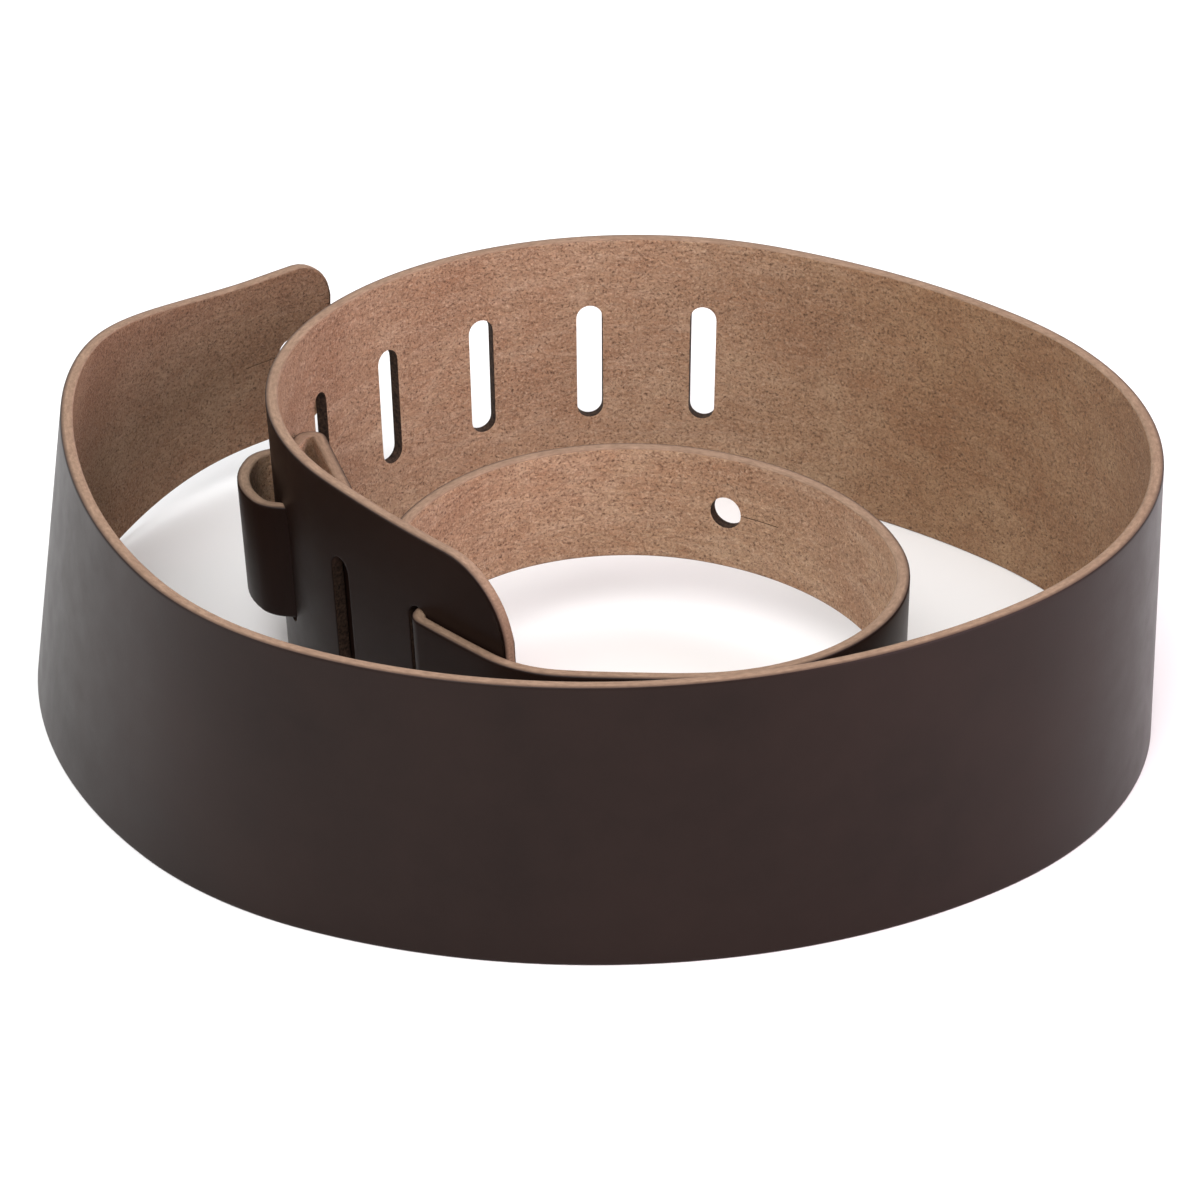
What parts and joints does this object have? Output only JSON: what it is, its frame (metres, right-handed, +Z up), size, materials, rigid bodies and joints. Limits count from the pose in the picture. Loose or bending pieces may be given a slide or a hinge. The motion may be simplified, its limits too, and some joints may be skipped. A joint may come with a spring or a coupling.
{
  "type": "guitar strap",
  "caption": "Leather guitar strap coiled on its edge: a wide slotted main strap with a tapered button end, and a narrow adjuster strap laced through its slots.",
  "frame": {"origin": "middle of the coil's box, on the surface that the strap's lower edge stands on", "axes": "+Z up across the strap's width, +X along the coil's longer side, -Y towards the side where the main strap shows its outer face"},
  "size_m": [0.2987, 0.2771, 0.076],
  "materials": {
    "grain_leather": "smooth satin grain",
    "flesh_leather": "matte suede flesh side"
  },
  "bodies": {
    "strap": {"ladder_section": "grain_leather", "adjuster_lacing": "grain_leather"},
    "shoulder": {"shoulder_section": "grain_leather"},
    "button_end": {"button_end": "grain_leather"},
    "adjuster_loop": {"adjuster_loop": "grain_leather"},
    "adjuster_button_end": {"adjuster_button_end": "grain_leather"},
    "adjuster_tail": {"adjuster_tail": "flesh_leather"}
  },
  "joints": [
    {"name": "shoulder_flex", "type": "hinge", "parent": "strap", "child": "shoulder", "pos_m": [0.13556, 0.03682, 0.038], "axis": [0, 0, 1], "range_deg": [-8, 60], "stiffness_Nm_per_rad": 0.06},
    {"name": "button_end_flex", "type": "hinge", "parent": "shoulder", "child": "button_end", "pos_m": [-0.12615, -0.0641, 0.038], "axis": [0, 0, 1], "range_deg": [-1.5, 45], "stiffness_Nm_per_rad": 0.1},
    {"name": "adjuster_loop_flex", "type": "hinge", "parent": "strap", "child": "adjuster_loop", "pos_m": [-0.00956, -0.0914, 0.038], "axis": [0, 0, 1], "range_deg": [-12, 1.5], "stiffness_Nm_per_rad": 0.07},
    {"name": "adjuster_end_flex", "type": "hinge", "parent": "adjuster_loop", "child": "adjuster_button_end", "pos_m": [0.06953, -0.00679, 0.038], "axis": [0, 0, 1], "range_deg": [-8, 1.5], "stiffness_Nm_per_rad": 0.07},
    {"name": "tail_flex", "type": "hinge", "parent": "strap", "child": "adjuster_tail", "pos_m": [-0.07033, 0.03314, 0.038], "axis": [0, 0, 1], "range_deg": [-8, 6], "stiffness_Nm_per_rad": 0.1}
  ]
}
